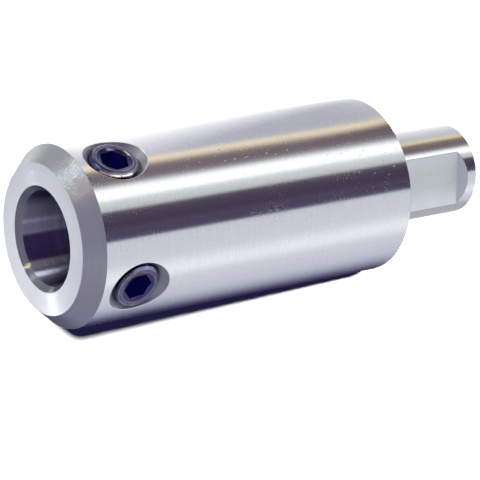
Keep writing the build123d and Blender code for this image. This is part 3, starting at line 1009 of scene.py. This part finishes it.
LOW = [  # below the horizon; (turn on the cylinder in degrees, light): panels, flags and the soft edges between them
    (-80.0, (0.018, 0.015, 0.075)), (-75.0, (0.08, 0.075, 0.17)), (-71.0, (0.17, 0.17, 0.27)),
    (-63.0, (0.54, 0.56, 0.70)), (-57.0, (0.78, 0.80, 0.92)), (-50.0, (0.88, 0.89, 1.01)), (-41.0, (0.95, 0.96, 1.05)),
    (-36.0, (1.28, 1.29, 1.35)), (-32.5, (1.28, 1.29, 1.35)), (-24.5, (0.93, 0.95, 1.03)), (-10.1, (0.88, 0.91, 0.99)),
    (-9.1, (0.080, 0.060, 0.140)), (-3.5, (0.115, 0.088, 0.150)), (0.0, (0.085, 0.058, 0.115)), (8.2, (0.115, 0.085, 0.135)),
    (9.3, (0.76, 0.80, 0.78)), (15.1, (0.98, 1.04, 1.00)), (16.7, (1.70, 1.75, 1.75)),
    (22.6, (1.70, 1.75, 1.75)), (25.0, (0.68, 0.69, 0.70)), (26.4, (0.35, 0.29, 0.33)), (29.5, (0.24, 0.185, 0.215)),
    (35.7, (0.22, 0.165, 0.185)), (37.9, (1.22, 1.00, 0.72)), (41.0, (1.60, 1.36, 1.00)), (42.6, (0.64, 0.63, 0.70)),
    (60.0, (1.10, 1.10, 1.18)), (68.0, (1.60, 1.60, 1.62)), (80.0, (1.60, 1.60, 1.62)), (88.5, (0.03, 0.025, 0.10)),
]
BAND = [  # above the horizon
    (-90.0, (1.66, 1.66, 1.67)), (-84.0, (0.94, 0.96, 1.02)), (-77.0, (0.46, 0.47, 0.56)), (-72.0, (0.34, 0.34, 0.44)),
    (-62.0, (0.30, 0.29, 0.40)), (-55.0, (0.33, 0.32, 0.43)), (-28.0, (0.31, 0.30, 0.39)), (-25.5, (0.62, 0.62, 0.72)),
    (-23.0, (0.62, 0.62, 0.72)), (-21.0, (0.36, 0.35, 0.46)), (-11.0, (0.36, 0.35, 0.46)), (-6.5, (0.045, 0.030, 0.115)),
    (21.0, (0.045, 0.030, 0.115)), (26.0, (0.47, 0.41, 0.42)), (32.0, (0.48, 0.43, 0.43)), (34.5, (0.22, 0.22, 0.31)),
    (37.0, (0.26, 0.27, 0.34)), (39.5, (2.6, 2.85, 2.85)), (43.5, (2.6, 2.85, 2.85)), (46.0, (0.85, 0.90, 0.90)),
    (49.0, (0.56, 0.60, 0.58)), (58.0, (0.58, 0.61, 0.59)), (66.0, (0.45, 0.47, 0.48)), (78.0, (0.34, 0.35, 0.41)),
    (84.0, (0.60, 0.62, 0.68)), (87.0, (0.85, 0.87, 0.93)), (90.0, (1.66, 1.66, 1.67)),
]
OVERHEAD = [(-80.0, (0.67, 0.68, 0.76)), (-60.0, (0.45, 0.44, 0.54)), (44.0, (0.50, 0.50, 0.58)), (50.0, (0.62, 0.63, 0.67)), (60.0, (0.58, 0.58, 0.63)), (80.0, (0.67, 0.68, 0.76))]
LAMPS = [  # (bearing from the camera's, elevation, radius in degrees, light): small lamps that show as glints
    (-171.0, 27.0, 2.6, (4.2, 4.2, 4.2)),
    (91.5, 35.0, 4.0, (2.6, 2.9, 2.75)),
    (67.0, 50.5, 0.9, (70.0, 60.0, 25.0)),
]
FULL = 4.0  # the lights' strength; the ramps hold shares of it


def bearing_ramp(stops):
    n = wnode("ShaderNodeValToRGB")
    n.color_ramp.interpolation = "LINEAR"
    elements = n.color_ramp.elements
    while len(elements) < len(stops):
        elements.new(0.5)
    for el, (turn, c) in zip(elements, stops):
        el.position = turn / 180 + 0.5
    for el, (turn, c) in zip(elements, stops):
        el.color = (c[0] / FULL, c[1] / FULL, c[2] / FULL, 1)
    wt.links.new(place_on_ramp, n.inputs[0])
    return n.outputs[0]


def by_height(low, high, below, above):
    """below under sine of elevation low, above over high."""
    m = wnode("ShaderNodeMapRange")
    m.interpolation_type = "SMOOTHSTEP"
    wt.links.new(sep.outputs[2], m.inputs["Value"])
    m.inputs["From Min"].default_value, m.inputs["From Max"].default_value = low, high
    n = wnode("ShaderNodeMix", data_type="RGBA")
    wt.links.new(m.outputs["Result"], n.inputs[0])
    for i, value in ((6, below), (7, above)):
        if isinstance(value, bpy.types.NodeSocket):
            wt.links.new(value, n.inputs[i])
        else:
            n.inputs[i].default_value = (value[0] / FULL, value[1] / FULL, value[2] / FULL, 1)
    return n.outputs[2]


surround = by_height(0.50, 0.68, by_height(0.02, 0.20, bearing_ramp(LOW), bearing_ramp(BAND)), bearing_ramp(OVERHEAD))


def with_lamp(below, az, el, size, light):
    az, el = radians(az), radians(el)
    to = [cos(el) * (0.70711 * cos(az) + 0.70711 * sin(az)), cos(el) * (-0.70711 * cos(az) + 0.70711 * sin(az)), sin(el)]
    dot = wnode("ShaderNodeVectorMath", operation="DOT_PRODUCT")
    wt.links.new(coord.outputs["Generated"], dot.inputs[0])
    dot.inputs[1].default_value = to
    m = wnode("ShaderNodeMapRange")
    m.interpolation_type = "SMOOTHSTEP"
    wt.links.new(dot.outputs["Value"], m.inputs["Value"])
    m.inputs["From Min"].default_value, m.inputs["From Max"].default_value = cos(radians(size * 1.4)), cos(radians(size * 0.6))
    n = wnode("ShaderNodeMix", data_type="RGBA", clamp_result=False, clamp_factor=True)
    wt.links.new(m.outputs["Result"], n.inputs[0])
    wt.links.new(below, n.inputs[6])
    n.inputs[7].default_value = (light[0] / FULL, light[1] / FULL, light[2] / FULL, 1)
    return n.outputs[2]


for lamp in LAMPS:
    surround = with_lamp(surround, *lamp)
back_ = wnode("ShaderNodeBackground")
wt.links.new(surround, back_.inputs["Color"])
back_.inputs["Strength"].default_value = FULL
out = wnode("ShaderNodeOutputWorld")
wt.links.new(back_.outputs[0], out.inputs["Surface"])

# The key light stands just above the camera, so the shadow on the floor falls away behind the arbor.
key_data = bpy.data.lights.new("key_light", "SUN")
key_data.energy, key_data.angle = 390.0, radians(0.6)
key_data.color = (0.812, 1.0, 0.253)
key = bpy.data.objects.new("key_light", key_data)
scene.collection.objects.link(key)
towards = Vector((0.6415, -0.5837, 0.4996))
key.rotation_mode = "QUATERNION"
key.rotation_quaternion = towards.to_track_quat("Z", "Y")
key.visible_glossy = False

# A narrow spot from the side washes out the shank's own shadow.
spot_data = bpy.data.lights.new("foot_spot", "SPOT")
spot_data.energy, spot_data.color, spot_data.shadow_soft_size = 760.0, (0.812, 1.0, 0.253), 0.01
spot_data.spot_size, spot_data.spot_blend = radians(6.2), 0.7
spot = bpy.data.objects.new("foot_spot", spot_data)
scene.collection.objects.link(spot)
spot_way = Vector((-0.283, -0.777, 0.56))
spot.location = Vector((-0.0160, 0.0011, 0.0)) + spot_way * 0.4
spot.rotation_mode = "QUATERNION"
spot.rotation_quaternion = spot_way.to_track_quat("Z", "Y")
spot.visible_glossy = False
